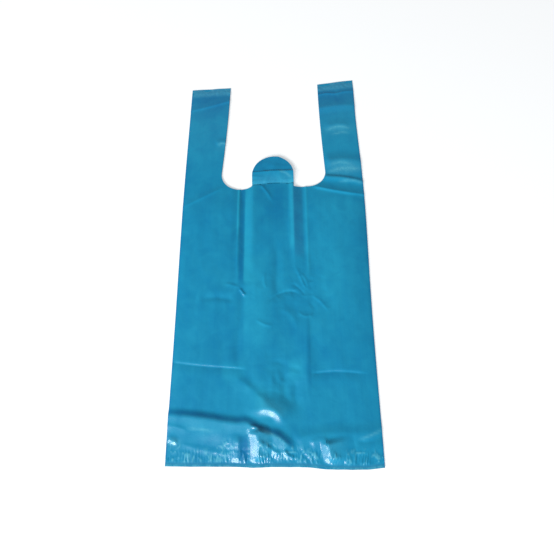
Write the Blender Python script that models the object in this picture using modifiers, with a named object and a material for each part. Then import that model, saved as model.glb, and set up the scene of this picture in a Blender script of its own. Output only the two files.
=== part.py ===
"""A thin film carrier bag of the vest type, lying flat on a table.

The bag is one piece of blown film. It is modelled the way it is made: the film leaves the
line as a tube, a gusset is tucked into each side and the tube is pressed flat, both ends are
welded across all plies, and a die stamps the mouth out between the two carrying straps. The
die leaves a round tab in the middle, which held the bag in its pack, and slits the tab's foot
along an arched tear line, so that only two small bridges of film still hold it on.

Units are metres. X runs across the bag, Y along it from the bottom weld to the straps, and Z
is up from the table. The origin is under the middle of the bag, at table level.
"""

import math

import bmesh
import bpy

BAG = "carrier_bag"
BLUE = (0.011, 0.235, 0.440, 1.0)
FILM_ROUGHNESS = 0.32

# The film tube, pressed flat.
FILM = 0.000025
LAY_FLAT_WIDTH = 0.230
BAG_LENGTH = 0.498
GUSSET_DEPTH = 0.073
SIDE = LAY_FLAT_WIDTH / 2
GUSSET_FOLD = SIDE - GUSSET_DEPTH

# How the plies lie on each other, from the middle of one ply to the middle of the next.
PLY_PITCH = 0.00060
WELD_PITCH = 0.00006
SKIRT_PITCH = 0.00010
PRESSED_LENGTH = 0.030
SAG_WIDTH = 0.012

# The welds across both ends, each a little way in from the cut edge of the film.
WELD_SETBACK = 0.0035
WELD_WIDTH = 0.0016

# Air trapped in the bag, and the low buckle that stands above the bottom weld.
AIR_RISE = 0.0014
AIR_LOST_AT_MOUTH = 0.7
BUCKLE_RISE = 0.0018
BUCKLE_PLACE = (-0.018, 0.042)
BUCKLE_SPREAD = (0.040, 0.016)

# The stamped mouth, as (left, right) pairs where its two sides differ: the die landed a little
# to the right of the bag's middle, and not quite square.
MOUTH_TOP = (-0.0584, 0.0665)
MOUTH_WIDEST = (-0.0668, 0.0712)
MOUTH_RADIUS = (0.0245, 0.0210)
MOUTH_FLOOR = 0.3290
SHOULDER_RISE = (0.0050, 0.0015)
STRAP_BOW = 0.0012

# The round tab in the mouth, and the tear line across its foot. The slits are given as shares
# of the tab's half width, and between them are the bridges.
TAB_MIDDLE = 0.0021
TAB_HALF_WIDTH = 0.0274
TAB_TOP = 0.3778
TEAR_LINE = 0.3352
TEAR_ARCH = 0.0032
TEAR_WIDTH = 0.0006
SLITS = ((-1.10, -0.52), (-0.36, 0.38), (0.58, 1.10))

# Where the film's section has points: across the flat middle, across the gusset as shares of
# its depth, and along the bag where the buckle stands and where the body lies flat.
MIDDLE_STATIONS = (0.012, 0.024)
GUSSET_STATIONS = (0.15, 0.35, 0.6, 0.8, 0.95)
BUCKLE_STATIONS = (0.010, 0.018, 0.026, 0.034, 0.042, 0.050, 0.060, 0.072)
BODY_START = 0.095
BODY_STEP = 0.030
BODY_STATIONS = 12
STRAP_TOP_STATIONS = (0.034, 0.018, 0.010)

# How finely curves are divided.
FOLD_STEPS = 4
STRAP_STEPS = 7
ARC_STEPS = 10
TAB_STEPS = 20
SLIT_STEPS = 4

CUT_OVERRUN = 0.010
CUTTER_DEPTH = 0.040
WELD_BITE = 0.3 * FILM


def smooth(share):
    """0 below 0, 1 above 1, and an easy curve between them."""
    share = min(1.0, max(0.0, share))
    return share * share * (3 - 2 * share)


def ply_pitch(along):
    """The distance between plies at a place along the bag: tight at both welds."""
    from_end = min(along, BAG_LENGTH - along)
    if from_end < WELD_SETBACK:
        return SKIRT_PITCH + (WELD_PITCH - SKIRT_PITCH) * smooth(from_end / WELD_SETBACK)
    return WELD_PITCH + (PLY_PITCH - WELD_PITCH) * smooth((from_end - WELD_SETBACK) / PRESSED_LENGTH)


def front_lift(across, along):
    """How far the trapped air and the buckle raise the front panel."""
    held = math.cos(math.pi * across / LAY_FLAT_WIDTH)
    from_weld = min(along, BAG_LENGTH - along) - WELD_SETBACK
    free = smooth(from_weld / PRESSED_LENGTH)
    half_way = MOUTH_FLOOR / 2
    fullness = 1 - AIR_LOST_AT_MOUTH * smooth((along - half_way) / half_way)
    off_x = (across - BUCKLE_PLACE[0]) / BUCKLE_SPREAD[0]
    off_y = (along - BUCKLE_PLACE[1]) / BUCKLE_SPREAD[1]
    buckle = BUCKLE_RISE * math.exp(-off_x * off_x - off_y * off_y)
    return free * held * (AIR_RISE * fullness + buckle)


def half_fold(edge, low, high, side, inward):
    """Points round a half turn of film between two plies, starting at the ply at high."""
    radius = (high - low) / 2
    turn = -1 if inward else 1
    centre = edge - turn * radius
    points = []
    for step in range(FOLD_STEPS + 1):
        angle = math.pi * step / FOLD_STEPS
        across = centre + turn * radius * math.sin(angle)
        points.append((side * across, low + radius + radius * math.cos(angle)))
    return points


def front_stations():
    """Where the front panel has points, from its middle to just inside the side fold."""
    sag = [GUSSET_FOLD - SAG_WIDTH, GUSSET_FOLD - SAG_WIDTH / 2, GUSSET_FOLD]
    over_gusset = [GUSSET_FOLD + GUSSET_DEPTH * share for share in GUSSET_STATIONS]
    return [*MIDDLE_STATIONS, *sag, *over_gusset]


def half_section(along, side):
    """The film's middle line on one side of the bag, from the front's middle to the back's."""
    pitch = ply_pitch(along)
    back = FILM / 2
    points = []
    for across in front_stations():
        over_gusset = smooth((across - GUSSET_FOLD + SAG_WIDTH) / SAG_WIDTH)
        height = back + pitch * (1 + 2 * over_gusset) + front_lift(side * across, along)
        points.append((side * across, height))
    points += half_fold(SIDE, back + 2 * pitch, back + 3 * pitch, side, inward=False)
    points.append((side * (GUSSET_FOLD + GUSSET_DEPTH / 2), back + 2 * pitch))
    points += half_fold(GUSSET_FOLD, back + pitch, back + 2 * pitch, side, inward=True)
    points.append((side * (GUSSET_FOLD + GUSSET_DEPTH / 2), back + pitch))
    points += half_fold(SIDE, back, back + pitch, side, inward=False)
    points.append((side * (GUSSET_FOLD + GUSSET_DEPTH / 2), back))
    points.append((side * GUSSET_FOLD, back))
    return points


def section(along):
    """The whole closed loop of film at one place along the bag, as (across, height) points."""
    middle_top = FILM / 2 + ply_pitch(along) + front_lift(0.0, along)
    right = half_section(along, 1)
    left = half_section(along, -1)
    return [(0.0, middle_top)] + right + [(0.0, FILM / 2)] + left[::-1]


def stations():
    """Places along the bag where the section is set: close together by the welds and buckle."""
    skirt = [0.0, WELD_SETBACK - WELD_WIDTH, WELD_SETBACK + WELD_WIDTH]
    body = [BODY_START + BODY_STEP * step for step in range(BODY_STATIONS)]
    head = [BAG_LENGTH - place for place in (*STRAP_TOP_STATIONS, *skirt[::-1])]
    return [*skirt, *BUCKLE_STATIONS, *body, *head]


def folded_tube():
    """The gusseted tube as an open surface, drawn out from ring to ring and then given walls."""
    places = stations()
    rings = [section(along) for along in places]
    shape = bmesh.new()
    bmesh.ops.create_circle(shape, cap_ends=False, segments=len(rings[0]), radius=SIDE)
    loop = list(shape.verts)
    edges = list(shape.edges)
    for number, (along, ring) in enumerate(zip(places, rings)):
        if number:
            made = bmesh.ops.extrude_edge_only(shape, edges=edges)["geom"]
            follower = {}
            new = {item for item in made if isinstance(item, bmesh.types.BMVert)}
            for old in loop:
                ends = [edge.other_vert(old) for edge in old.link_edges]
                follower[old] = next(end for end in ends if end in new)
            loop = [follower[old] for old in loop]
            drawn = [item for item in made if isinstance(item, bmesh.types.BMEdge)]
            edges = [edge for edge in drawn if set(edge.verts) <= new]
        for vertex, (across, height) in zip(loop, ring):
            vertex.co = (across, along - BAG_LENGTH / 2, height)
    bmesh.ops.recalc_face_normals(shape, faces=shape.faces[:])
    mesh = bpy.data.meshes.new(BAG)
    shape.to_mesh(mesh)
    shape.free()
    bag = bpy.data.objects.new(BAG, mesh)
    walls = bag.modifiers.new("film walls", "SOLIDIFY")
    walls.thickness = FILM
    walls.offset = 0
    walls.use_even_offset = True
    return bag


def box(name, low, high):
    """A box between two corners."""
    shape = bmesh.new()
    bmesh.ops.create_cube(shape, size=1.0)
    for vertex in shape.verts:
        vertex.co = [low[k] + (vertex.co[k] + 0.5) * (high[k] - low[k]) for k in range(3)]
    mesh = bpy.data.meshes.new(name)
    shape.to_mesh(mesh)
    shape.free()
    return bpy.data.objects.new(name, mesh)


def weld_bar(name, along):
    """The band where the plies have run together, as high all along as the four side plies."""
    top = FILM + 3 * ply_pitch(along) - WELD_BITE
    reach = SIDE - WELD_BITE
    near = along - BAG_LENGTH / 2 - WELD_WIDTH / 2
    return box(name, (-reach, near, WELD_BITE), (reach, near + WELD_WIDTH, top))


def arc(centre, radius, start, end, steps):
    """Points round part of a circle, with the angles in degrees."""
    points = []
    for step in range(steps + 1):
        angle = math.radians(start + (end - start) * step / steps)
        points.append((centre[0] + radius * math.cos(angle), centre[1] + radius * math.sin(angle)))
    return points


def chord_radius(half_chord, rise):
    """The radius of an arc that rises this far over half its chord."""
    return (half_chord * half_chord + rise * rise) / (2 * rise)


def strap_edge(top, foot, side):
    """A strap's inner edge, which bows a little into the mouth. It leaves out its lower end."""
    points = []
    for step in range(STRAP_STEPS):
        share = step / STRAP_STEPS
        across = top[0] + share * (foot[0] - top[0]) - side * STRAP_BOW * math.sin(math.pi * share)
        points.append((across, top[1] + share * (foot[1] - top[1])))
    return points


def mouth_side(side):
    """One side of the die's outline: down the strap, round the corner and along to the tab."""
    pick = 0 if side < 0 else 1
    radius = MOUTH_RADIUS[pick]
    bottom = MOUTH_WIDEST[pick] - side * radius
    tab_edge = TAB_MIDDLE + side * TAB_HALF_WIDTH
    reach = abs(bottom - tab_edge)
    shoulder = chord_radius(reach, SHOULDER_RISE[pick])
    sweep = math.degrees(math.asin(reach / shoulder))
    strap_top = (MOUTH_TOP[pick], BAG_LENGTH + CUT_OVERRUN)
    points = strap_edge(strap_top, (MOUTH_WIDEST[pick], MOUTH_FLOOR + radius), side)
    points += arc((bottom, MOUTH_FLOOR + radius), radius, 90 + side * -90, 90 + side * -180, ARC_STEPS)
    points += arc((bottom, MOUTH_FLOOR + shoulder), shoulder, -90, -90 - side * sweep, ARC_STEPS)[1:]
    return points


def mouth_outline():
    """The die's outline: down the left strap, round the tab and up the right strap."""
    tab = arc((TAB_MIDDLE, TAB_TOP - TAB_HALF_WIDTH), TAB_HALF_WIDTH, 180, 0, TAB_STEPS)
    return mouth_side(-1) + tab + mouth_side(1)[::-1]


def prism(name, outline, low, high):
    """A flat outline drawn out between two heights, as a closed mesh."""
    data = bpy.data.curves.new(name, "CURVE")
    data.dimensions = "2D"
    data.fill_mode = "BOTH"
    data.extrude = (high - low) / 2
    spline = data.splines.new("POLY")
    spline.points.add(len(outline) - 1)
    for point, (across, along) in zip(spline.points, outline):
        point.co = (across, along, 0, 1)
    spline.use_cyclic_u = True
    guide = bpy.data.objects.new(name, data)
    bpy.context.scene.collection.objects.link(guide)
    bpy.context.view_layer.update()
    evaluated = guide.evaluated_get(bpy.context.evaluated_depsgraph_get())
    mesh = bpy.data.meshes.new_from_object(evaluated)
    bpy.data.objects.remove(guide)
    shape = bmesh.new()
    shape.from_mesh(mesh)
    bmesh.ops.remove_doubles(shape, verts=shape.verts[:], dist=1e-7)
    bmesh.ops.translate(shape, verts=shape.verts[:], vec=(0, 0, (low + high) / 2))
    bmesh.ops.recalc_face_normals(shape, faces=shape.faces[:])
    shape.to_mesh(mesh)
    shape.free()
    return bpy.data.objects.new(name, mesh)


def mouth_cutter():
    """The die that stamps the mouth through every ply."""
    outline = [(across, along - BAG_LENGTH / 2) for across, along in mouth_outline()]
    return prism("mouth_cutter", outline, -CUTTER_DEPTH / 2, CUTTER_DEPTH / 2)


def slit_cutter(number, start, end):
    """A curved blade that cuts one slit of the tab's tear line through every ply."""
    radius = chord_radius(TAB_HALF_WIDTH, TEAR_ARCH)
    centre = (TAB_MIDDLE, TEAR_LINE + TEAR_ARCH - radius - BAG_LENGTH / 2)
    first = 90 - math.degrees(math.asin(start * TAB_HALF_WIDTH / radius))
    last = 90 - math.degrees(math.asin(end * TAB_HALF_WIDTH / radius))
    outline = arc(centre, radius + TEAR_WIDTH / 2, first, last, SLIT_STEPS)
    outline += arc(centre, radius - TEAR_WIDTH / 2, last, first, SLIT_STEPS)
    return prism(f"slit_cutter_{number}", outline, -CUTTER_DEPTH / 2, CUTTER_DEPTH / 2)


def film_material():
    """Blue polyethylene film."""
    material = bpy.data.materials.new("blue_film")
    material.use_nodes = True
    shader = material.node_tree.nodes["Principled BSDF"]
    shader.inputs["Base Color"].default_value = BLUE
    shader.inputs["Roughness"].default_value = FILM_ROUGHNESS
    shader.inputs["Metallic"].default_value = 0.0
    return material


def clear_scene():
    """Empties the scene that the script is run in."""
    for item in list(bpy.data.objects):
        bpy.data.objects.remove(item)


def collection(name):
    """A new collection in the scene."""
    made = bpy.data.collections.new(name)
    bpy.context.scene.collection.children.link(made)
    return made


def combine(bag, other, operation, helpers):
    """Joins a helper to the bag, or cuts the bag with it."""
    other.hide_render = True
    other.display_type = "WIRE"
    helpers.objects.link(other)
    step = bag.modifiers.new(other.name, "BOOLEAN")
    step.operation = operation
    step.object = other
    step.solver = "EXACT"


def main():
    clear_scene()
    shown = collection("carrier bag")
    helpers = collection("welds and cutters")
    bag = folded_tube()
    shown.objects.link(bag)
    bag.data.materials.append(film_material())
    combine(bag, weld_bar("bottom_weld", WELD_SETBACK), "UNION", helpers)
    combine(bag, weld_bar("strap_weld", BAG_LENGTH - WELD_SETBACK), "UNION", helpers)
    combine(bag, mouth_cutter(), "DIFFERENCE", helpers)
    for number, (start, end) in enumerate(SLITS, 1):
        combine(bag, slit_cutter(number, start, end), "DIFFERENCE", helpers)


main()
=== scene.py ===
# %% [markdown]
# # A carrier bag of thin blue film, lying flat
#
# The bag is one tube of blown film. A gusset is tucked into each side, the tube is pressed
# flat, both ends are welded and a die stamps out the mouth between the straps. This notebook
# makes it in that order: tube, pressing, stamping, and then the creases that give film its look.
#
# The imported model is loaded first. It has the right size and the right place, so every length
# below starts from its box.

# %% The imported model
import math
from collections import namedtuple

import bmesh
import bpy
import numpy as np
from mathutils import Matrix, Vector


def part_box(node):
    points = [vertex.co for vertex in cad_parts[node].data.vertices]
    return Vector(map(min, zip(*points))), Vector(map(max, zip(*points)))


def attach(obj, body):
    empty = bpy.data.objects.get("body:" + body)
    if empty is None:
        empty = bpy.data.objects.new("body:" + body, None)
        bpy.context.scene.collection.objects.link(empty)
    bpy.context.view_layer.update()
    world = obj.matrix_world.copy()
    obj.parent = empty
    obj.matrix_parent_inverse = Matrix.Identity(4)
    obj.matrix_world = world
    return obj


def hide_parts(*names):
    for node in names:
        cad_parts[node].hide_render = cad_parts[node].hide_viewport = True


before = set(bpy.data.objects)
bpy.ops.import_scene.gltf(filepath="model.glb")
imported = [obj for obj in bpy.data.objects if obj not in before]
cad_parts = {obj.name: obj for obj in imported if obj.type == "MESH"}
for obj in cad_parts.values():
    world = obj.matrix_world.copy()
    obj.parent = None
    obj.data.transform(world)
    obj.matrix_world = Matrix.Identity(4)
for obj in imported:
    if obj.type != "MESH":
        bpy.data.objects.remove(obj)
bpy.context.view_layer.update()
bag_low, bag_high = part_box("carrier_bag")
WIDTH = bag_high.x - bag_low.x
LENGTH = bag_high.y - bag_low.y
SIDE = WIDTH / 2
print(f"the bag is {WIDTH * 1000:.0f} by {LENGTH * 1000:.0f} mm, pressed flat")

# %% [markdown]
# ## Camera
#
# The camera stands close over the bottom weld and looks down at about 72 degrees, turned a
# little, so the straps run away from it and look narrower than the bottom.

# %% Camera
CAMERA_PLACE = Vector((0.0359, -0.1732, 0.4197))
CAMERA_TARGET = Vector((0.0063, -0.0417, 0.0))
CAMERA_ROLL = math.radians(-13.83)
CAMERA_LENS = 23.65

bpy.ops.object.select_all(action="DESELECT")
bpy.ops.object.camera_add(location=CAMERA_PLACE)
camera = bpy.context.object
camera.name = "camera"
camera.data.lens = CAMERA_LENS
camera.data.sensor_width = 36.0
camera.data.clip_start = 0.01
aim = (CAMERA_TARGET - CAMERA_PLACE).to_track_quat("-Z", "Y").to_matrix()
camera.rotation_euler = (aim @ Matrix.Rotation(CAMERA_ROLL, 3, "Z")).to_euler()
bpy.context.scene.camera = camera
print("camera height", round(CAMERA_PLACE.z, 3), "m")

# %% [markdown]
# ## Floor and light
#
# A white table and a pale, even room hide nothing. The table also glows a little, so that the
# shadows on it stay faint.

# %% Floor
bpy.ops.mesh.primitive_plane_add(size=6.0, location=(0, 0, -0.0004))
floor = bpy.context.object
floor.name = "white_table"
floor.data.transform(floor.matrix_world)
floor.matrix_world = Matrix.Identity(4)
paint = bpy.data.materials.new("white_table")
paint.use_nodes = True
surface = paint.node_tree.nodes["Principled BSDF"].inputs
surface["Base Color"].default_value = (0.62, 0.62, 0.62, 1)
surface["Roughness"].default_value = 0.9
surface["Emission Color"].default_value = (1, 1, 1, 1)
surface["Emission Strength"].default_value = 0.48
floor.data.materials.append(paint)
print("the table is", round(floor.dimensions.x, 1), "m wide")

# %% Light from the room
world = bpy.data.worlds.new("white_room")
world.use_nodes = True
room = world.node_tree.nodes["Background"]
room.inputs["Color"].default_value = (0.78, 0.91, 1.0, 1)
room.inputs["Strength"].default_value = 0.24
bpy.context.scene.world = world
bpy.context.scene.view_settings.view_transform = "Standard"
print("room light", round(room.inputs["Strength"].default_value, 2))

# %% [markdown]
# Two soft lamps, low on the near side and on the left, give the creases a light side and a dark
# side. Their round reflections are the glints in the film.

# %% Two soft lamps
LAMP_DISTANCE = 3.4


def softbox(name, direction, size, energy):
    """A round soft lamp that shines at the middle of the table."""
    direction = Vector(direction).normalized()
    bpy.ops.object.light_add(type="AREA", location=direction * LAMP_DISTANCE)
    lamp = bpy.context.object
    lamp.name = name
    lamp.data.shape = "DISK"
    lamp.data.size = size
    lamp.data.energy = energy
    lamp.rotation_euler = (-direction).to_track_quat("-Z", "Y").to_euler()
    print(name, round(math.degrees(math.asin(direction.z))), "degrees above the table")


softbox("near_lamp", (-0.32, -0.77, 0.55), 1.5, 118.0)
softbox("left_lamp", (-0.76, -0.43, 0.49), 1.1, 52.0)

# %% [markdown]
# ## The tube, pressed flat
#
# A gusseted tube has four plies at each side and two in the middle. Seen from the end, the film
# runs across the front, turns in to the gusset fold and out again, crosses the back, and does
# the same on the other side. A list of columns holds that route: each column is a place across
# the bag and the number of the ply, from 0 at the back to 3 at the front. Between two plies the
# number passes through fractions, which become the round of the fold.

# %% Columns round the tube
GUSSET_FOLD = 0.042
FRONT, LEAF_UPPER, LEAF_LOWER, BACK = 3.0, 2.0, 1.0, 0.0
FRONT_CELL = 0.0019
LEAF_CELL = 0.0145
BACK_CELL = 0.0125


def ply_columns(start, end, ply, cell):
    """Columns across one ply, from fold to fold."""
    count = round(abs(end - start) / cell)
    return [(start + (end - start) * step / count, ply) for step in range(count + 1)]


def fold_columns(across, start, end):
    """Three columns round a fold between two plies."""
    return [(across, start + (end - start) * share) for share in (0.25, 0.5, 0.75)]


def side_columns(side):
    """The gusset of one side, from the front panel's edge to the back panel's."""
    edge, inner = side * SIDE, side * GUSSET_FOLD
    columns = fold_columns(edge, FRONT, LEAF_UPPER)
    columns += ply_columns(edge, inner, LEAF_UPPER, LEAF_CELL)
    columns += fold_columns(inner, LEAF_UPPER, LEAF_LOWER)
    columns += ply_columns(inner, edge, LEAF_LOWER, LEAF_CELL)
    return columns + fold_columns(edge, LEAF_LOWER, BACK)


columns = ply_columns(-SIDE, SIDE, FRONT, FRONT_CELL)
columns += side_columns(1)
columns += ply_columns(SIDE, -SIDE, BACK, BACK_CELL)
columns += side_columns(-1)[::-1]
print(len(columns), "columns round the tube")

# %% Rows along the tube
TEAR_LINE = 0.3352
CRINKLED_LENGTH = 0.0252
TOP_BAND = 0.012


def row_band(start, end, cell):
    """Rows from start up to end, without the end."""
    count = round((end - start) / cell)
    return [start + (end - start) * step / count for step in range(count)]


rows = row_band(0.0, CRINKLED_LENGTH, 0.0012)
rows += row_band(CRINKLED_LENGTH, TEAR_LINE, 0.0019)
rows += row_band(TEAR_LINE, LENGTH - TOP_BAND, 0.0021)
rows += row_band(LENGTH - TOP_BAND, LENGTH, 0.0015) + [LENGTH]
print(len(rows), "rows along the tube")

# %% [markdown]
# The tube starts as an open cylinder, as the film leaves the die of the extruder. Its upright
# edges are subdivided once for each row. Then every vertex moves to its column and row. For
# now the plies are kept a centimetre apart, with the ply number as the height, so that cutting
# them is easy: this is the flat pattern.

# %% Blow the tube and lay it out as the flat pattern
PLY_APART = 0.01

bpy.ops.object.select_all(action="DESELECT")
bpy.ops.mesh.primitive_cylinder_add(vertices=len(columns), radius=SIDE, depth=LENGTH, end_fill_type="NOTHING")
bag = bpy.context.object
bag.name = "film_bag"
pattern = bmesh.new()
pattern.from_mesh(bag.data)
upright = [e for e in pattern.edges if abs(e.verts[0].co.z - e.verts[1].co.z) > LENGTH / 2]
bmesh.ops.subdivide_edges(pattern, edges=upright, cuts=len(rows) - 2, use_grid_fill=True)
start_angle = min(math.atan2(v.co.y, v.co.x) % math.tau for v in pattern.verts)
for v in pattern.verts:
    turn = (math.atan2(v.co.y, v.co.x) - start_angle) / math.tau
    across, ply = columns[round(turn * len(columns)) % len(columns)]
    along = rows[round((v.co.z / LENGTH + 0.5) * (len(rows) - 1))]
    v.co = (across, along, ply * PLY_APART)
print(len(pattern.verts), "vertices in the flat pattern")

# %% [markdown]
# ## Stamping the mouth
#
# The die's outline is a chain of arcs: down the inside of a strap, round a corner, along to the
# round tab, over it and back up the other strap. The two sides differ by a few millimetres,
# because the folded tube lay a little askew under the die.

# %% The die's outline
MOUTH_TOP = (-0.0584, 0.0665)
MOUTH_WIDEST = (-0.0668, 0.0712)
MOUTH_RADIUS = (0.0245, 0.0210)
MOUTH_FLOOR = 0.3290
SHOULDER_RISE = (0.0050, 0.0015)
STRAP_BOW = 0.0012
TAB_MIDDLE = 0.0021
TAB_HALF_WIDTH = 0.0274
TAB_TOP = 0.3778
TEAR_ARCH = 0.0032
DIE_OVERRUN = 0.010


def arc(centre, radius, start, end, steps):
    """Points round part of a circle, with the angles in degrees."""
    angles = np.radians(np.linspace(start, end, steps + 1))
    return [(centre[0] + radius * math.cos(a), centre[1] + radius * math.sin(a)) for a in angles]


def mouth_side(side):
    """One side of the outline: down the strap, round the corner and along to the tab."""
    pick = 0 if side < 0 else 1
    radius = MOUTH_RADIUS[pick]
    bottom = MOUTH_WIDEST[pick] - side * radius
    top = (MOUTH_TOP[pick], LENGTH + DIE_OVERRUN)
    foot = (MOUTH_WIDEST[pick], MOUTH_FLOOR + radius)
    shares = [step / 12 for step in range(12)]
    bows = [side * STRAP_BOW * math.sin(math.pi * s) for s in shares]
    drop = foot[1] - top[1]
    strap = [(top[0] + s * (foot[0] - top[0]) - b, top[1] + s * drop) for s, b in zip(shares, bows)]
    reach = abs(bottom - TAB_MIDDLE) - TAB_HALF_WIDTH
    shoulder = (reach**2 + SHOULDER_RISE[pick] ** 2) / (2 * SHOULDER_RISE[pick])
    sweep = math.degrees(math.asin(reach / shoulder))
    corner = arc((bottom, MOUTH_FLOOR + radius), radius, 90 - side * 90, 90 - side * 180, 16)
    floor_line = arc((bottom, MOUTH_FLOOR + shoulder), shoulder, -90, -90 - side * sweep, 10)
    return strap + corner + floor_line[1:]


left_side, right_side = mouth_side(-1), mouth_side(1)
tab = arc((TAB_MIDDLE, TAB_TOP - TAB_HALF_WIDTH), TAB_HALF_WIDTH, 180, 0, 36)
outline = np.array(left_side + tab + right_side[::-1])
print(len(outline), "points in the die's outline")

# %% [markdown]
# The tab is torn off along an arched line of slits. The rows of vertices near that line are
# bent to follow it, so that the slits can later be opened along one row.

# %% Bend the rows to the tear line
TEAR_REACH = 0.012


def tear_height(across):
    """How far the tear line has risen above its ends."""
    share = (across - TAB_MIDDLE) / TAB_HALF_WIDTH
    return TEAR_ARCH * max(0.0, 1 - share * share)


for v in pattern.verts:
    near = math.exp(-(((v.co.y - TEAR_LINE) / TEAR_REACH) ** 2))
    v.co.y += tear_height(v.co.x) * near

# %% [markdown]
# To stamp the mouth, each edge of the mesh that crosses the outline has its nearer end moved on
# to the outline. After that no edge crosses it, and the faces inside can simply be deleted. It
# is quicker and cleaner than a Boolean on many thousand faces.

# %% Tools for the stamping
segments = np.stack([outline[:-1], outline[1:]], axis=1)


def in_mouth(points):
    """Which of the points are inside the die's outline: an odd number of its lines lie to their right."""
    x, y = points[:, 0:1], points[:, 1:2]
    (x0, y0), (x1, y1) = segments[:, 0].T, segments[:, 1].T
    spans = (y0 > y) != (y1 > y)
    at = x0 + (y - y0) / np.where(y1 == y0, 1e-12, y1 - y0) * (x1 - x0)
    return (spans & (at > x)).sum(axis=1) % 2 == 1


def crossing(a, b):
    """Where the line from a to b meets the outline."""
    p, r = np.array(a.xy), np.array(b.xy) - np.array(a.xy)
    q, s = segments[:, 0], segments[:, 1] - segments[:, 0]
    cross = r[0] * s[:, 1] - r[1] * s[:, 0]
    cross = np.where(np.abs(cross) < 1e-16, 1e-16, cross)
    t = ((q - p)[:, 0] * s[:, 1] - (q - p)[:, 1] * s[:, 0]) / cross
    u = ((q - p)[:, 0] * r[1] - (q - p)[:, 1] * r[0]) / cross
    hits = np.sort(t[(t >= 0) & (t <= 1) & (u >= -1e-9) & (u <= 1 + 1e-9)])
    return p + r * hits[0] if len(hits) else None


# %% Stamp the mouth
pattern.verts.ensure_lookup_table()
inside = in_mouth(np.array([v.co.xy for v in pattern.verts]))
moves = {}
for e in pattern.edges:
    a, b = e.verts
    if inside[a.index] == inside[b.index]:
        continue
    point = crossing(a.co, b.co)
    if point is None:
        continue
    for v in (a, b):
        distance = math.hypot(point[0] - v.co.x, point[1] - v.co.y)
        other = b if v is a else a
        rival = math.hypot(point[0] - other.co.x, point[1] - other.co.y)
        if distance <= rival and distance < moves.get(v, (9.0,))[0]:
            moves[v] = (distance, point)
for v, (distance, point) in moves.items():
    v.co.x, v.co.y = point
print(len(moves), "vertices moved on to the outline")

# %% Clear the mouth
for face in list(pattern.faces):
    kinds = [None if v in moves else bool(inside[v.index]) for v in face.verts]
    if True in kinds and False in kinds:
        on_line = [v for v in face.verts if v in moves]
        if len(on_line) == 2:
            bmesh.utils.face_split(face, on_line[0], on_line[1])
centres = np.array([f.calc_center_median().xy for f in pattern.faces])
gone = []
for face, cut in zip(pattern.faces, in_mouth(centres)):
    kinds = {bool(inside[v.index]) for v in face.verts if v not in moves}
    if (kinds == {True}) or (not kinds and cut):
        gone.append(face)
bmesh.ops.delete(pattern, geom=gone, context="FACES")
print(len(gone), "faces stamped out")

# %% Sharpen the two corners at the foot of the tab
for corner in (Vector(left_side[-1]), Vector(right_side[-1])):
    for ply in (FRONT, BACK):
        rim = [v for v in pattern.verts if v in moves and abs(v.co.z - ply * PLY_APART) < 1e-6]
        rim = [v for v in rim if abs(v.co.y - TEAR_LINE) > 0.0003]
        nearest = min(rim, key=lambda v: (v.co.xy - corner).length)
        nearest.co.x, nearest.co.y = corner
print("the tab's foot is", round((left_side[-1][0] - right_side[-1][0]) * -1000, 1), "mm wide")

# %% [markdown]
# The slits are edges that are split apart and then opened a little. Two bridges between them
# are left whole: they hold the tab.

# %% Open the slits of the tear line
SLITS = ((-1.10, -0.52), (-0.36, 0.38), (0.58, 1.10))
SLIT_OPENING = 0.0007


def on_tear(v):
    """Whether a vertex is on the tear line, and between the ends of a slit."""
    share = (v.co.x - TAB_MIDDLE) / TAB_HALF_WIDTH
    close = abs(v.co.y - TEAR_LINE - tear_height(v.co.x)) < 0.0002
    return close and any(start <= share <= end for start, end in SLITS)


slit_edges = [e for e in pattern.edges if on_tear(e.verts[0]) and on_tear(e.verts[1])]
bmesh.ops.split_edges(pattern, edges=slit_edges)
open_edges = [e for e in pattern.edges if e.is_boundary and on_tear(e.verts[0]) and on_tear(e.verts[1])]
lips = {v for e in open_edges for v in e.verts}
for v in lips:
    sheets = [f.calc_center_median().y for f in v.link_faces]
    if max(sheets) < v.co.y or min(sheets) > v.co.y:
        v.co.y += math.copysign(SLIT_OPENING / 2, sum(sheets) / len(sheets) - v.co.y)
print(len(slit_edges), "edges split along the slits")

# %% [markdown]
# Nobody looks closely at the gussets and the back, and they lie almost flat. Three of four rows
# are dissolved there, away from the welds, so that the cells can be spent on the front panel.

# %% Fewer cells in the hidden plies
KEPT_ENDS = 0.040
ROWS_PER_KEPT_ROW = 4
row_heights = sorted(rows)


def row_of(v):
    """The row that a vertex was laid out in."""
    return min(range(len(row_heights)), key=lambda i: abs(row_heights[i] - v.co.y))


def hidden(v):
    """Whether a vertex is on the gussets or the back."""
    return v.co.z < (LEAF_UPPER + 0.01) * PLY_APART


spare = []
for e in pattern.edges:
    a, b = e.verts
    level = abs(a.co.y - b.co.y) < 0.0004 and hidden(a) and hidden(b) and len(e.link_faces) == 2
    if level and KEPT_ENDS < a.co.y < LENGTH - KEPT_ENDS and abs(a.co.y - TEAR_LINE) > 0.02:
        if a not in moves and b not in moves and row_of(a) % ROWS_PER_KEPT_ROW:
            spare.append(e)
bmesh.ops.dissolve_edges(pattern, edges=spare, use_verts=False)
loose_ends = [v for v in pattern.verts if len(v.link_edges) == 2 and hidden(v) and not v.is_boundary]
bmesh.ops.dissolve_verts(pattern, verts=loose_ends)
print(len(pattern.faces), "faces after dissolving")

# %% [markdown]
# ## Creases
#
# A crease is a smooth path with a rise in millimetres and the widths of its two flanks, left
# and right of the way it runs. A steep near flank catches the lamp, a steep far flank falls
# into shade, and a wide flank hardly shows. A negative rise is a valley. All of them are
# given in millimetres from the middle of the bottom edge.

# %% What a crease is
Crease = namedtuple("Crease", "points rise left right blunt ends soft", defaults=(0.5, (0.2, 0.2), 0.65))

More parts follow.
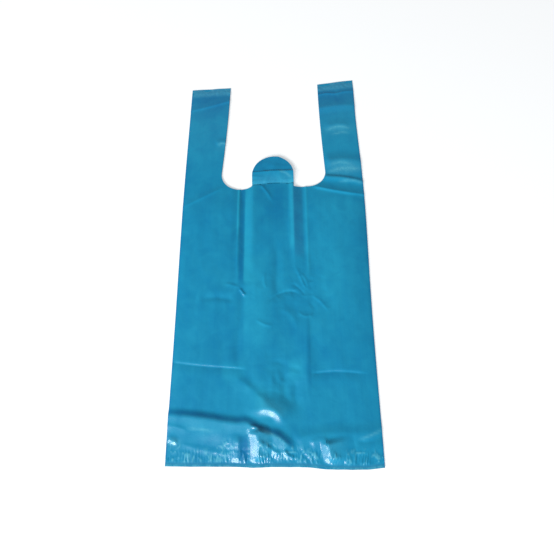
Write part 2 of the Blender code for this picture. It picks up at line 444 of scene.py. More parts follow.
# %% The buckle above the bottom weld
buckle_crest = [(-117, 51.5), (-80, 48.5), (-42, 43), (-27, 43), (-12, 34.5), (5, 30), (18, 20.5), (26, 15)]
right_crest = [(22, 26), (45, 31), (70, 33), (96, 33), (119, 38)]
BUCKLES = [
    Crease(buckle_crest, 3.0, 7.2, 26, 0.4, (0.01, 0.12), 0.2),
    Crease(right_crest, 1.3, 9.0, 20, 1.5, (0.1, 0.01)),
    Crease([(-33, 53), (-18, 56), (-6, 58), (4, 55), (10, 48), (14, 39)], 3.7, 17, 8.0, 0.8, (0.6, 0.3), 0.1),
    Crease([(-44, 92), (-25, 80), (-8, 65), (3, 58)], 1.0, 6.5, 16, 0.8, (0.25, 0.2)),
    Crease([(-20, 2), (-15, 12), (-14, 24), (-18, 38)], 3.6, 9, 14, 0.3, (0.12, 0.15), 0.0),
    Crease([(-38, 3), (-36.5, 18), (-35, 33)], 2.2, 14, 10, 1.2, (0.1, 0.3)),
    Crease([(-27, 32), (-22, 39.5), (-15, 38.5), (-10, 33)], 1.0, 3.0, 3.0, 0.4, (0.25, 0.25)),
    Crease([(-15, 27), (0, 17), (9, 12)], 1.1, 3.5, 6.0, 0.4, (0.2, 0.2)),
    Crease([(12, 17), (17, 11), (24, 8)], 1.4, 3.0, 3.5, 0.4, (0.2, 0.3)),
    Crease([(62, 1), (60.5, 13), (57.5, 28)], 3.7, 8.4, 26, 0.3, (0.1, 0.25), 0.0),
    Crease([(38, 23), (47, 26), (57, 27)], 1.0, 4.0, 12, 0.5, (0.3, 0.05)),
    Crease([(86, 24), (102, 25), (118, 31)], -0.9, 4.5, 6.0, 0.5, (0.3, 0.01)),
    Crease([(-114, 27), (-107, 25), (-101, 23)], 1.9, 5.0, 3.6, 0.4, (0.2, 0.4), 0.3),
    Crease([(-117, 41), (-103, 39), (-90, 35)], 0.5, 3.0, 6.0, 0.5, (0.01, 0.4)),
    Crease([(-105, 25), (-77, 17), (-35, 10)], 0.5, 9.0, 5.0, 0.5, (0.2, 0.3)),
    Crease([(13, 108), (15, 86), (12, 64)], -0.8, 5.0, 7.0, 0.8, (0.3, 0.3)),
    Crease([(27, 88), (26, 72), (29, 54)], -0.8, 6.0, 6.0, 0.8, (0.3, 0.3)),
    Crease([(-2, 98), (0, 84), (-1, 70)], 0.5, 5.0, 5.0, 0.8, (0.3, 0.3)),
]

# %% The folds from lying folded in a pack
PACK_FOLDS = [
    Crease([(-117, 108), (-83, 103.5), (-37, 99.5), (-26, 98)], -0.8, 2.2, 9.0, 0.2, (0.08, 0.15)),
    Crease([(42, 93.3), (70, 95.3), (97, 93.3), (108, 92)], -0.9, 2.2, 9.0, 0.2, (0.15, 0.25)),
    Crease([(-2, 110), (16, 103), (34, 97)], -0.5, 5.0, 6.0, 0.8, (0.3, 0.2)),
]

# %% Gusset folds printing through the front panel
GUSSET_PRINTS = [
    Crease([(-42, 196), (-42.3, 260), (-42, 337)], 0.6, 2.6, 4.5, 0.4, (0.25, 0.01)),
    Crease([(-35, 198), (-34.5, 260), (-34.5, 337)], -2.2, 16, 10, 0.4, (0.35, 0.01), 0.4),
    Crease([(-24, 232), (-24, 280), (-24, 337)], 1.0, 10, 24, 1.0, (0.2, 0.01)),
    Crease([(28, 212), (28, 270), (27.5, 338)], 1.9, 5.0, 12, 0.4, (0.45, 0.01), 0.4),
    Crease([(23, 246), (22.5, 275), (23.5, 310)], 0.5, 2.6, 3.5, 0.4, (0.3, 0.3)),
    Crease([(41, 205), (41, 270), (41, 336)], -1.1, 12, 8.0, 0.4, (0.3, 0.01), 0.3),
    Crease([(45, 190), (45, 270), (45, 334)], 0.6, 5.0, 3.0, 0.4, (0.3, 0.01)),
    Crease([(38.5, 58), (40, 110), (41, 168)], 0.8, 14, 4.0, 0.7, (0.3, 0.2)),
    Crease([(6, 178), (6, 215), (7, 255)], -1.0, 8.0, 8.0, 1.0, (0.2, 0.3)),
    Crease([(-34, 198), (-36, 170), (-40, 120), (-38, 95)], -1.0, 14, 8.0, 0.8, (0.1, 0.3)),
]

# %% The kink half way up, and what runs out from it
KINKS = [
    Crease([(-39, 194), (-35, 188.5), (-31, 183)], 1.3, 3.0, 2.6, 0.3, (0.25, 0.3)),
    Crease([(-88, 181.5), (-66, 183), (-42, 179)], -0.8, 7.0, 5.0, 0.6, (0.3, 0.2)),
    Crease([(-60, 201), (-48, 198), (-37, 194)], 0.4, 3.0, 4.0, 0.4, (0.4, 0.1)),
    Crease([(29, 219), (35, 204), (41, 189)], 0.6, 4.0, 2.4, 0.3, (0.3, 0.2)),
    Crease([(33, 212), (39, 205), (44, 192)], 0.4, 3.0, 2.0, 0.3, (0.3, 0.2)),
    Crease([(-3, 176), (6, 184), (18, 188), (27, 187), (35, 182)], -0.8, 3.0, 7.0, 0.3, (0.2, 0.3)),
    Crease([(46, 184), (57, 175), (68, 161)], 0.5, 4.5, 2.6, 0.4, (0.3, 0.4)),
    Crease([(24, 199), (33, 191), (40, 181)], -0.5, 3.0, 3.0, 0.4, (0.3, 0.3)),
    Crease([(44, 176), (50, 166), (46, 156)], -0.5, 4.0, 4.0, 0.4, (0.3, 0.3)),
    Crease([(30, 165), (38, 158), (50, 160)], 0.4, 3.0, 3.0, 0.4, (0.3, 0.3)),
    Crease([(-20, 156), (-8, 149), (3, 147)], 0.45, 4.0, 2.6, 0.3, (0.3, 0.3)),
    Crease([(10, 168), (24, 158), (30, 140)], 0.6, 7.0, 5.0, 0.6, (0.2, 0.4)),
    Crease([(-8, 214), (-9, 203), (-6, 190)], 0.5, 4.0, 3.0, 0.4, (0.3, 0.3)),
]

# %% Creases that run from the straps into the panel
STRAP_CREASES = [
    Crease([(-118, 305), (-90, 319), (-60, 335)], 0.7, 8.0, 3.0, 0.4, (0.02, 0.3)),
    Crease([(-13, 335), (-5, 322), (3, 306)], 0.7, 4.0, 3.0, 0.4, (0.05, 0.5)),
    Crease([(52, 329), (95, 316.5), (119, 313)], 1.4, 9.0, 2.8, 0.4, (0.15, 0.01)),
    Crease([(66, 342), (92, 338.5), (119, 331)], 2.4, 5.0, 6.5, 0.5, (0.15, 0.01)),
    Crease([(70, 364), (95, 366), (119, 362)], 2.2, 14, 22, 1.5, (0.15, 0.01)),
    Crease([(66, 478), (78, 479.5), (90, 477), (102, 479), (119, 478)], 0.8, 4.0, 2.6, 0.4, (0.02, 0.02)),
    Crease([(66, 452), (92, 454), (119, 453)], 1.8, 20, 10, 1.0, (0.02, 0.02)),
    Crease([(71, 419), (90, 423), (109, 420)], 1.1, 12, 9.0, 0.8, (0.3, 0.3)),
    Crease([(-118, 460), (-90, 465.5), (-57, 474)], 0.9, 14, 2.8, 0.4, (0.01, 0.05)),
    Crease([(-78, 402), (-68, 405), (-59, 402)], 0.9, 8.0, 8.0, 0.8, (0.3, 0.1)),
]
CREASES = BUCKLES + PACK_FOLDS + GUSSET_PRINTS + KINKS + STRAP_CREASES
print(len(CREASES), "creases")

# %% Reading a crease
def smooth(share):
    """0 below 0, 1 above 1, and an easy curve between them."""
    share = np.clip(share, 0, 1)
    return share * share * (3 - 2 * share)


def spline(points, steps=6):
    """A smooth path through the points, a Catmull-Rom curve."""
    p = np.array([points[0], *points, points[-1]], float)
    path = []
    for a, b, c, d in zip(p[:-3], p[1:-2], p[2:-1], p[3:]):
        for t in np.linspace(0, 1, steps, endpoint=False):
            bend, twist = 2 * a - 5 * b + 4 * c - d, 3 * b - a - 3 * c + d
            path.append(b + 0.5 * ((c - a) * t + bend * t**2 + twist * t**3))
    return np.array([*path, p[-1]])


def beside(points, x, y):
    """How far places are to the left of a path (negative: right), and their share of its length."""
    path = spline(points)
    steps = np.hypot(*(path[1:] - path[:-1]).T)
    best = np.full(len(x), 1e9)
    side, share, travelled = np.zeros(len(x)), np.zeros(len(x)), 0.0
    for (ax, ay), (bx, by), step in zip(path[:-1], path[1:], steps):
        ux, uy = (bx - ax) / step, (by - ay) / step
        t = np.clip((x - ax) * ux + (y - ay) * uy, 0, step)
        dx, dy = x - ax - t * ux, y - ay - t * uy
        distance = np.hypot(dx, dy)
        closer = distance < best
        best = np.where(closer, distance, best)
        side = np.where(closer, np.copysign(distance, ux * dy - uy * dx), side)
        share = np.where(closer, (travelled + t) / steps.sum(), share)
        travelled += step
    return side, share


def relief(crease, x, y):
    """The height that a crease adds."""
    side, share = beside(crease.points, x, y)
    width = np.where(side > 0, crease.left, crease.right)
    near = np.clip(1 - (np.hypot(side, crease.blunt) - crease.blunt) / width, 0, 1)
    fade = smooth(share / crease.ends[0]) * smooth((1 - share) / crease.ends[1])
    return crease.rise * near * (1 - crease.soft + crease.soft * near) * fade


# %% [markdown]
# The front panel's cells are made smaller where they have to be: narrow ones above the bottom
# weld, where the crinkles stand side by side, and smaller ones along the sharp creases and on
# the tab.

# %% Finer cells where the film is crinkled
SHARP_FLANK = 3.6
SHARP_REACH = 2.6


def front_faces():
    """The front panel's faces and the places of their middles, in millimetres."""
    faces = [f for f in pattern.faces if min(v.co.z for v in f.verts) > (FRONT - 0.01) * PLY_APART]
    middles = np.array([f.calc_center_median() * 1000 for f in faces])
    return faces, middles[:, 0], middles[:, 1]


for _ in range(2):
    faces, x, y = front_faces()
    strip = [f for f, low in zip(faces, y < CRINKLED_LENGTH * 1000) if low]
    level = {e for f in strip for e in f.edges if abs(e.verts[0].co.y - e.verts[1].co.y) < 1e-6}
    bmesh.ops.subdivide_edges(pattern, edges=list(level), cuts=1, use_grid_fill=True)
print(len(pattern.faces), "faces after the crinkled strip")

faces, x, y = front_faces()
wanted = (y > TEAR_LINE * 1000) & (y < 360) & (np.abs(x - TAB_MIDDLE * 1000) < TAB_HALF_WIDTH * 1000)
for crease in CREASES:
    if min(crease.left, crease.right) < SHARP_FLANK:
        side, share = beside(crease.points, x, y)
        wanted |= (np.abs(side) < SHARP_REACH) & (share > 0) & (share < 1)
wanted &= y > CRINKLED_LENGTH * 1000 + 2
finer = {e for f, near in zip(faces, wanted) if near for e in f.edges}
bmesh.ops.subdivide_edges(pattern, edges=list(finer), cuts=1, use_grid_fill=True)
print(len(pattern.faces), "faces after the sharp creases")

# %% [markdown]
# ## From flat pattern to lying film
#
# Heights are worked out in millimetres for all vertices at once, with NumPy arrays.

# %% The pattern as arrays, in millimetres
bmesh.ops.triangulate(pattern, faces=[f for f in pattern.faces if len(f.verts) > 4])
pattern.verts.ensure_lookup_table()
flat = np.array([v.co for v in pattern.verts])
X, Y, PLY = flat[:, 0] * 1000, flat[:, 1] * 1000, flat[:, 2] / PLY_APART
SIDE_MM, LENGTH_MM = SIDE * 1000, LENGTH * 1000


def swell(x, y, wide, long, rise, turn=0.0):
    """A rounded hump, turned by some degrees."""
    c, s = math.cos(math.radians(turn)), math.sin(math.radians(turn))
    u, v = (X - x) * c + (Y - y) * s, (Y - y) * c - (X - x) * s
    return rise * np.exp(-((u / wide) ** 2) - (v / long) ** 2)


def wander(cell_x, cell_y, seed):
    """Smooth random values from -1 to 1, with a new value for each cell."""
    table = np.random.default_rng(seed).uniform(-1, 1, (97, 97))
    u, v = X / cell_x + 40.37, Y / cell_y + 11.73
    iu, iv = np.floor(u).astype(int), np.floor(v).astype(int)
    fu, fv = smooth(u - iu), smooth(v - iv)
    near = table[iu % 97, iv % 97] * (1 - fu) + table[(iu + 1) % 97, iv % 97] * fu
    far = table[iu % 97, (iv + 1) % 97] * (1 - fu) + table[(iu + 1) % 97, (iv + 1) % 97] * fu
    return near * (1 - fv) + far * fv


print(len(X), "vertices to place")

# %% Trapped air and the lie of the whole panel
AIR_RISE, AIR_FALL = 2.4, 1.1
AIR_SWELLS = [  # x, y, half width, half length, rise
    (-12, 160, 26, 70, 1.3),
    (-8, 47, 24, 13, 1.0),
    (88, 230, 34, 110, 1.4),
    (-95, 230, 34, 110, 0.9),
]
CRUMPLED_PLACES = [  # x, y, half width, half length, amount
    (35, 190, 34, 34, 1),
    (10, 85, 36, 32, 1),
    (-40, 190, 30, 16, 0.7),
    (0, 345, 60, 14, 0.5),
    (90, 345, 34, 30, 0.8),
]
CRUMPLE_RISE = 0.42

broad = AIR_RISE - AIR_FALL * (X / SIDE_MM) ** 2 + 0.6 * wander(46, 60, 1) + 0.35 * wander(21, 33, 2)
broad += sum(swell(*hump) for hump in AIR_SWELLS)
broad += 0.18 * wander(9, 24, 20) + 0.12 * wander(6, 11, 21)
crumpled = np.clip(sum(swell(*place) for place in CRUMPLED_PLACES), 0, 1)
broad += CRUMPLE_RISE * crumpled * (1 - np.abs(wander(7, 8, 22) + 0.4 * wander(3.6, 4, 23)))
fine = sum(relief(crease, X, Y) for crease in CREASES)
print("creases from", round(float(fine.min()), 1), "to", round(float(fine.max()), 1), "mm")

# %% [markdown]
# The film above the weld shrank with the heat, so it stands in small upright crinkles. Each is a
# triangle wave across the bag, with its lean and its height wandering. The strap tops have the
# same crinkles, only shorter.

# %% Crinkles beside the welds
CRINKLE_PITCH = 3.2
CRINKLE_RISE = 0.55
SQUIGGLE_RISE = 0.75
WELD_EDGE = 3.0

# Upright pleats that lean more on the right, and reach up by different lengths.
lean = np.where(X > 20, 0.42, 0.12)
phase = (X - lean * Y + 1.8 * wander(8, 9, 3)) / CRINKLE_PITCH + 0.4 * wander(14, 30, 4)
wave = 1 - np.abs(2 * (phase % 1) - 1)
pleat_tops = 17 + 6 * wander(13, 50, 5)
pleated = smooth((Y - WELD_EDGE) / 3) * smooth((pleat_tops - Y) / 8)
strength = np.clip(0.75 + 0.9 * wander(9, 12, 6), 0.15, 1.5)

# Small squiggles between them, and painted glint flecks on their crests.
broken = np.clip(np.abs(wander(5, 5, 7)) + 0.6 * np.abs(wander(2.4, 3, 8)), 0, 1)
squiggled = smooth((Y - WELD_EDGE) / 3) * smooth((25 + 7 * wander(20, 90, 9) - Y) / 10)
# Painted glints: pale flecks on the squiggles' crests.
glint_flecks = smooth((0.42 - broken) / 0.3) * squiggled
crinkles = CRINKLE_RISE * wave * pleated * strength + SQUIGGLE_RISE * (1 - broken) * squiggled

# The two flat facets stay nearly free of them, and two stretches have fewer.
facet = np.exp(-(((X + 20) / 6) ** 4)) + np.exp(-(((X - 55) / 6) ** 4))
crinkles *= 1 - 0.97 * np.clip(facet, 0, 1)
crinkles *= 1 - 0.6 * np.exp(-(((X + 77) / 39) ** 4)) - 0.5 * np.exp(-(((X - 10) / 10) ** 4))
crinkles += 0.10 * np.clip(facet, 0, 1) * wander(5, 9, 9) * smooth((Y - 5) / 6) * smooth((36 - Y) / 8)

# Short pleats at the strap tops.
from_top = LENGTH_MM - Y
at_top = smooth((from_top - WELD_EDGE) / 3) * smooth((17 - from_top) / 8)
crinkles += (0.35 + 0.5 * (1 - broken)) * wave * at_top
print("crinkles up to", round(float(crinkles.max()), 2), "mm high")

# %% [markdown]
# The tab lifts from its tear line as a short slope, bends over and lies down again, a little
# rumpled.

# %% The tab
TAB_SLOPE_LENGTH = 16.5
TAB_RISE, TAB_DROP = 3.2, 1.2

tab_share = (X - TAB_MIDDLE * 1000) / (TAB_HALF_WIDTH * 1000)
tear = TEAR_LINE * 1000 + TEAR_ARCH * 1000 * np.clip(1 - tab_share**2, 0, 1)
above = Y - tear
on_tab = (np.abs(tab_share) < 1.06) & (above > 0)
bend = TAB_SLOPE_LENGTH + 2.5 * tab_share**2
tab_rise = TAB_RISE * np.clip(above / bend, 0, 1) - TAB_DROP * smooth((above - bend) / 2.0)
tab_rise += 0.25 * wander(9, 9, 10)
tab_rise += 0.45 * (1 - np.abs(wander(11, 7, 24)))
tab_rise += 0.6 * np.exp(-(((X + 9 - 0.5 * above) / 3) ** 2)) * smooth(above / 4)
print("the tab rises", round(float((tab_rise * on_tab).max()), 1), "mm")

# %% [markdown]
# Now the plies go where they lie. Near the welds they close up on each other, the back ply lies
# on the table, the gusset's leaves lie just above it, and the front panel has all the creases.
# At the side folds the upper leaf goes up with the front panel, so that a crease can run right
# to the edge. Both welds lift a little as a whole.

# %% Heights of the plies
PLY_PITCH, WELD_PITCH, WELD_SETBACK = 0.30, 0.06, 3.5
LEAST_GAP = 0.15
EDGE_HELD = 0.55

from_end = np.minimum(Y, LENGTH_MM - Y)
loose = smooth((from_end - WELD_SETBACK) / 30)
pitch = WELD_PITCH + (PLY_PITCH - WELD_PITCH) * smooth((from_end - WELD_SETBACK) / 20)
held = 1 - EDGE_HELD * np.abs(X / SIDE_MM) ** 10
strap = smooth((Y - 290) / 60)
broad = np.clip(broad * (1 - 0.8 * strap), 0.3, None) * loose * (1 - 0.85 * np.abs(X / SIDE_MM) ** 14)
fine = (fine * smooth((from_end - WELD_SETBACK) / 8) + crinkles) * held
front = np.clip(broad + fine, 0, None)
front = np.where(on_tab, 0.4, front)
leaf_share = 0.10 + 0.85 * smooth((np.abs(X) / SIDE_MM - 0.85) / 0.15)

skirt = 0.5 * np.clip(1 - Y / 3.0, 0, 1) * (0.6 + 0.4 * wander(6, 400, 14))
lift = 1.3 * np.exp(-(((X - 78) / 34) ** 2)) + 0.7 * np.exp(-(((X + 18) / 12) ** 2))
lift = (lift + 0.25 * (1 + wander(23, 400, 11))) * smooth((34 - Y) / 34) + skirt
lift += 0.5 * (1 + wander(17, 400, 12)) * smooth((30 - from_top) / 30)
lift = np.where(on_tab, 0.2 + np.clip(tab_rise, 0, None) * smooth(above / 3), lift)

heights = np.zeros((4, len(X)))
heights[0] = 0.015 + lift
heights[1] = heights[0] + pitch
heights[2] = heights[1] + pitch + leaf_share * front
heights[3] = np.maximum(heights[1] + 2 * pitch + front, heights[2] + np.minimum(pitch, LEAST_GAP))

# %% [markdown]
# A vertex between two plies belongs to a fold. It goes round a half circle, outwards at the sides
# of the bag and inwards at the gusset's inner edge.

# %% Round the folds and place every vertex
lower = np.clip(np.floor(PLY), 0, 2).astype(int)
part = PLY - lower
picks = np.arange(len(X))
low_z, high_z = heights[lower, picks], heights[lower + 1, picks]
Z = low_z + (high_z - low_z) * (0.5 - 0.5 * np.cos(np.pi * part))
round_out = (high_z - low_z) / 2 * np.sin(np.pi * part)
outer = np.where(lower == 1, -1, 1)
X_out = X + np.sign(X) * outer * round_out
print("the film is up to", round(float(Z.max()), 1), "mm above the table")

# %% [markdown]
# Soft film doesn't keep straight edges. The sides bow, the bottom dips in two places, and the
# right strap's top is cut at a slant by the way it lies.

# %% Pull the outline out of true
bow = 3.6 * np.exp(-(((Y - 315) / 115) ** 2)) + 1.2 * smooth((Y - 420) / 70)
bow = np.where(X > 0, bow, -1.6 * np.exp(-(((Y - 320) / 130) ** 2)))
X_out += bow * smooth((np.abs(X) - 70) / 45)
dip = 1.9 * smooth((X - 34) / 26) * smooth((112 - X) / 16) + 0.8 * np.exp(-(((X + 18) / 9) ** 2))
Y_out = Y - dip * smooth((22 - Y) / 22)
Y_out += 0.22 * wander(7, 400, 13) * (from_end < 6)
Y_out -= 4.2 * np.clip((SIDE_MM - X) / 48, 0, 1) * smooth((Y - 430) / 68) * (X > 0)
Y_out -= 2.4 * np.exp(-(((X - 2) / 40) ** 4)) * smooth((Y - 318) / 24)
print("the sides bow by up to", round(float(bow.max()), 1), "mm")

# %% [markdown]
# The film's colour has light and shade painted into it. Paler and darker bands beside the creases
# are painted light and painted shade for their lit and shaded flanks. The strap tops, the far part
# of the tab and the side edges are painted darker, and a faint random mottle is added. Painted
# highlights, with some whitening at the welds, go on the crests, straps, tab and crinkles. Both are
# kept as attributes for the material to read.

# %% Painted light and shade on the front panel
def zone(left, right, low, high, left_edge, right_edge, ends):
    """1 between two sides and two ends, with edges as soft as the last three say."""
    across = smooth((X - left) / left_edge) * smooth((right - X) / right_edge)
    return across * smooth((Y - low) / ends) * smooth((high - Y) / ends)


# Painted light and shade: each zone makes a band paler or darker, as a lit or a shaded flank of a crease
# would look.
PAINTED_LIGHT_ZONES = [  # amount, left, right, low, high, softness of the left edge, right edge and ends
    (0.75, -35, -16, 196, 350, 1.2, 16, 12),
    (0.55, -35, 6, 100, 262, 4, 20, 46),
    (-0.55, -41, -34.5, 196, 350, 1.5, 1.2, 12),
    (-0.5, 28.5, 42, 228, 350, 1.2, 4, 10),
    (0.9, -45, -40.5, 255, 350, 1.5, 1.5, 20),
    (0.5, -60, -26, 84, 112, 6, 10, 10),
    (0.5, 16, 40, 82, 114, 6, 8, 12),
    (-0.2, 18, 42, 118, 150, 6, 8, 12),
    (0.6, 21, 29, 238, 350, 4, 1.2, 14),
    (0.4, 42, 48, 200, 350, 2, 2, 20),
    (-0.25, 38, 44, 60, 175, 2, 2, 30),
    (-0.3, -16, 20, 270, 345, 14, 8, 24),
    (-0.7, -38, -25, 1, 36, 5, 2, 10),
    (-0.7, -116, 116, 1.4, 4.0, 1, 1, 0.8),
]
PAINTED_LIGHT_SWELLS = [(74, 255, 24, 90, 0.5), (-8, 66, 20, 26, 0.6), (-78, 38, 46, 9, 0.3), (60, 60, 60, 26, 0.3)]
SHADED_CREASE = [(-117, 55), (-80, 52), (-42, 46.5), (-27, 46.5), (-12, 38), (5, 33.5), (18, 24), (26, 18)]

# Painted light and shade from the zones and swells, then a faint random mottle.
painted_light_and_mottle = sum(amount * zone(*edges) for amount, *edges in PAINTED_LIGHT_ZONES)
painted_light_and_mottle += sum(swell(*hump) for hump in PAINTED_LIGHT_SWELLS)
painted_light_and_mottle += 0.16 * wander(26, 48, 30) + 0.14 * wander(9, 14, 31)
# Painted shade: darker towards the strap tops and on the tab beyond its bend.
painted_light_and_mottle -= 0.8 * smooth((Y - 430) / 50) + 0.35 * on_tab * smooth((above - TAB_SLOPE_LENGTH) / 3)
# Painted shade on the far flank of the buckle's crest.
painted_light_and_mottle -= relief(Crease(SHADED_CREASE, 1, 4.0, 4.0, 0.5, (0.01, 0.1)), X, Y)
# Painted shade along both side edges.
painted_light_and_mottle -= 0.8 * smooth((np.abs(X) - 112.6) / 2)
painted_light_and_mottle = np.clip(painted_light_and_mottle * (PLY > 2.5), -1, 1)
print("airy from", round(float(painted_light_and_mottle.min()), 1), "to", round(float(painted_light_and_mottle.max()), 1))

# %% [markdown]
# Painted highlights: short lines across the straps and along the crests, a few soft patches, the
# slope of the tab, glint flecks among the crinkles and along the bottom edge, and a sheen that grows
# towards the strap tops and on the highest crests. The film beyond both welds is paler too.

# %% Painted highlights, and paler film at the welds
PAINTED_HIGHLIGHT_LINES = [  # path, width to each side
    ([(88, 26), (104, 31), (119, 38)], 2.2),
    ([(-26, 41), (-12, 37), (2, 31), (19, 20)], 2.2),
    ([(-95, 38), (-80, 37), (-62, 35)], 2.2),
    ([(71, 347), (92, 353), (118, 350)], 4.5),
    ([(74, 357), (90, 362), (108, 357)], 3.5),
    ([(84, 333), (102, 334), (119, 328)], 3.0),
    ([(73, 413), (90, 419), (108, 416)], 3.0),
    ([(80, 406), (94, 410), (106, 408)], 2.2),
    ([(-75, 399), (-67, 402), (-60, 399)], 2.6),
    ([(8, 356), (18, 352), (28, 344)], 3.0),
]
PAINTED_HIGHLIGHT_PATCHES = [(96, 353, 22, 9, 0.5), (90, 416, 17, 6, 0.3), (-67, 398, 7, 6, 0.2), (-108, 24, 7, 4, 0.8)]
HIGHLIGHT_LINE_STRENGTH = 0.7

painted_sheen_and_whitening = sum(swell(*patch) for patch in PAINTED_HIGHLIGHT_PATCHES)
for path, width in PAINTED_HIGHLIGHT_LINES:
    painted_sheen_and_whitening += HIGHLIGHT_LINE_STRENGTH * relief(Crease(path, 1, width, width, 0.3, (0.3, 0.25)), X, Y)
# Painted highlight on the tab's slope, and a painted sheen growing towards the strap tops.
painted_sheen_and_whitening += 0.4 * on_tab * np.clip(1 - above / TAB_SLOPE_LENGTH, 0, 1) + 0.16 * smooth((Y - 330) / 130)
# A little of it in the dark band of the right gusset print, and the painted glint flecks.
painted_sheen_and_whitening += 0.12 * zone(28.5, 42, 228, 350, 1.2, 4, 10) + 1.1 * glint_flecks
# Painted glints along the bottom edge, then paler film beyond both welds.
painted_sheen_and_whitening += 0.5 * (Y < 1.5) * (wander(2.2, 400, 33) > 0.2)
painted_sheen_and_whitening += 0.5 * smooth((16 - from_top) / 6) + 0.4 * smooth((5 - Y) / 3)
# The highest crests get a little painted sheen.
painted_sheen_and_whitening = np.clip(painted_sheen_and_whitening + 0.10 * np.clip(fine - 1.2, 0, 3), 0, 1) * (PLY > 2.5)
print("whitened up to", round(float(painted_sheen_and_whitening.max()), 1))

# %% [markdown]
# The UV map unrolls the tube: across is the way round the film from the front's middle, and
# along is the way along the bag. The extrusion lines of the film follow it round every fold.

# %% Unroll the film into a UV map
GUSSET_MM = SIDE_MM - GUSSET_FOLD * 1000
reach_in = SIDE_MM - np.abs(X)
level_ply = np.round(PLY).astype(int)
unrolled = np.select(
    [level_ply == 3, level_ply == 2, level_ply == 1],
    [np.abs(X), SIDE_MM + reach_in, SIDE_MM + 2 * GUSSET_MM - reach_in],
    SIDE_MM + 2 * GUSSET_MM + reach_in,
)
uv = pattern.loops.layers.uv.new("unrolled film")
for face in pattern.faces:
    middle = face.calc_center_median()
    side = math.copysign(1.0, middle.x)
    for corner in face.loops:
        k = corner.vert.index
        across = side * unrolled[k]
        if level_ply[k] == 3:
            across = X[k]
        if level_ply[k] == 0:
            across = side * (2 * SIDE_MM + 2 * GUSSET_MM) - X[k]
        corner[uv].uv = (across / LENGTH_MM, Y[k] / LENGTH_MM)
print("the film unrolls to", round(2 * float(unrolled.max())), "mm round")

# %% [markdown]
# The places and the attributes go back into the mesh, and Solidify gives the film its thickness.
# Folds sharper than the smoothing angle stay crisp.

# %% Write the shape back and give the film its thickness
FILM = 0.00003
SMOOTH_BELOW = math.radians(62)

painted_light_layer = pattern.verts.layers.float.new("painted_light_and_mottle")
painted_sheen_layer = pattern.verts.layers.float.new("painted_sheen_and_whitening")
places = zip(X_out / 1000, Y_out / 1000 - LENGTH / 2, Z / 1000)
for v, point, painted_light_here, sheen_here in zip(pattern.verts, places, painted_light_and_mottle, painted_sheen_and_whitening):
    v.co = point
    v[painted_light_layer] = painted_light_here
    v[painted_sheen_layer] = sheen_here
pattern.to_mesh(bag.data)
pattern.free()
bag.matrix_world = Matrix.Identity(4)
walls = bag.modifiers.new("film thickness", "SOLIDIFY")
walls.thickness = FILM
walls.offset = 0
bpy.ops.object.select_all(action="DESELECT")
bag.select_set(True)
bpy.context.view_layer.objects.active = bag
bpy.ops.object.modifier_apply(modifier=walls.name)
bpy.ops.object.shade_smooth_by_angle(angle=SMOOTH_BELOW)
bag.data.calc_loop_triangles()
print(len(bag.data.loop_triangles), "triangles; highest point", round(float(Z.max()), 1), "mm")

# %% [markdown]
# ## Blue film
#
# The colour goes from deep to pale with painted light and shade and a fine mottle, and to a pale
# chalky blue for the painted highlights and the paler film at the welds. Long faint lines follow the
# way the film was drawn. The gloss and a shallow bump wander too, so that highlights break up as on
# real film.

# %% Blue film
film = bpy.data.materials.new("blue_film")
film.use_nodes = True
nodes, links = film.node_tree.nodes, film.node_tree.links
shader = nodes["Principled BSDF"]
DEEP = (0.0, 0.165, 0.372, 1)
PLAIN = (0.006, 0.250, 0.445, 1)
PALE = (0.014, 0.340, 0.530, 1)
SHEEN_TONE = (0.13, 0.52, 0.64, 1)
MOTTLE_STRENGTH = 0.5
LINES_STRENGTH = 0.16
LEAST_ROUGHNESS, MOST_ROUGHNESS = 0.26, 0.44


def node(kind, **settings):
    """A new node, with its settings, and with values for the sockets that are named."""
    made = nodes.new(kind)
    for name, value in settings.items():
        if hasattr(made, name):
            setattr(made, name, value)
        else:
            made.inputs[name.replace("_", " ")].default_value = value
    return made


def arithmetic(operation, first, second):
    """A math node between two sockets or numbers."""
    made = nodes.new("ShaderNodeMath")
    made.operation = operation
    for socket, value in zip(made.inputs, (first, second)):
        if isinstance(value, (int, float)):
            socket.default_value = value
        else:
            links.new(value, socket)
    return made.outputs[0]


print("the film's paint has four tones, from", DEEP[:3], "to", SHEEN_TONE[:3])

# %% [markdown]
# Three noise textures make the unevenness: long lines along the unrolled film, a broad mottle and
# a fine rumple.

# %% Textures
coordinates = node("ShaderNodeTexCoord")
drawn = node("ShaderNodeMapping")
drawn.inputs["Scale"].default_value = (150.0, 2.2, 1.0)
links.new(coordinates.outputs["UV"], drawn.inputs["Vector"])
lines = node("ShaderNodeTexNoise", Scale=1.0, Detail=3.0)
links.new(drawn.outputs["Vector"], lines.inputs["Vector"])
mottle = node("ShaderNodeTexNoise", Scale=60.0, Detail=4.0, Roughness=0.55, Distortion=0.8)
links.new(coordinates.outputs["Object"], mottle.inputs["Vector"])
rumple = node("ShaderNodeTexNoise", Scale=330.0, Detail=3.0, Roughness=0.55, Distortion=1.2)
links.new(coordinates.outputs["Object"], rumple.inputs["Vector"])
# The painted light and shade, and the painted highlights with some whitening, are read from the mesh.
painted_light_attribute = node("ShaderNodeAttribute", attribute_name="painted_light_and_mottle")
sheen_attribute = node("ShaderNodeAttribute", attribute_name="painted_sheen_and_whitening")
print("textures: film lines, mottle and rumple")
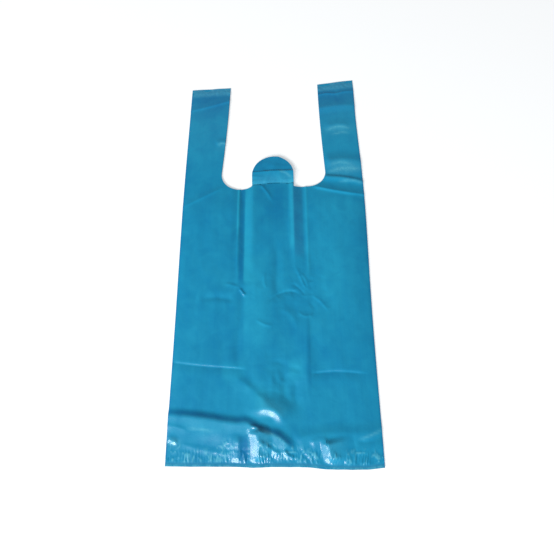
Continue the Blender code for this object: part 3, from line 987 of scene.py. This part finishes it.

# %% [markdown]
# The tone ramp runs from deep over plain to pale, and the painted light and shade choose the place
# on it. The painted highlights and whitening are then mixed in, broken up by the rumple.

# %% Colour
uneven = arithmetic("MULTIPLY", arithmetic("SUBTRACT", mottle.outputs["Fac"], 0.5), MOTTLE_STRENGTH)
streaky = arithmetic("MULTIPLY", arithmetic("SUBTRACT", lines.outputs["Fac"], 0.5), LINES_STRENGTH)
depth = arithmetic("MULTIPLY", painted_light_attribute.outputs["Fac"], 0.5)
depth = arithmetic("ADD", arithmetic("ADD", depth, 0.5), arithmetic("ADD", uneven, streaky))
tones = node("ShaderNodeValToRGB")
tones.color_ramp.elements[0].color = DEEP
tones.color_ramp.elements[1].color = PALE
tones.color_ramp.elements.new(0.5).color = PLAIN
links.new(depth, tones.inputs["Fac"])

# Painted highlights and sheen, and the whitening at the welds, are mixed in as a chalky blue.
painted_sheen_share = arithmetic("MULTIPLY", sheen_attribute.outputs["Fac"], arithmetic("MULTIPLY", rumple.outputs["Fac"], 0.9))
colour = node("ShaderNodeMixRGB", Color2=SHEEN_TONE)
links.new(painted_sheen_share, colour.inputs["Fac"])
links.new(tones.outputs["Color"], colour.inputs["Color1"])
links.new(colour.outputs["Color"], shader.inputs["Base Color"])

print("colour from", len(tones.color_ramp.elements), "tones and the whitening")

# %% [markdown]
# A thin clear coat gives the sharp glints, and the film below it is duller.

# %% Gloss and bump
gloss = node("ShaderNodeMapRange")
gloss.inputs["To Min"].default_value = LEAST_ROUGHNESS
gloss.inputs["To Max"].default_value = MOST_ROUGHNESS
links.new(mottle.outputs["Fac"], gloss.inputs["Value"])
links.new(gloss.outputs["Result"], shader.inputs["Roughness"])

bump = node("ShaderNodeBump", Strength=0.35, Distance=0.0003)
links.new(arithmetic("ADD", rumple.outputs["Fac"], mottle.outputs["Fac"]), bump.inputs["Height"])
links.new(bump.outputs["Normal"], shader.inputs["Normal"])
shader.inputs["Specular IOR Level"].default_value = 0.2
shader.inputs["Coat Weight"].default_value = 0.5
shader.inputs["Coat Roughness"].default_value = 0.2
bag.data.materials.clear()
bag.data.materials.append(film)
print(len(nodes), "nodes in the film's material")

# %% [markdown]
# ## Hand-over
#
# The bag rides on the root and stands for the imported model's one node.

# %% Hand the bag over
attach(bag, "root")
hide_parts("carrier_bag")
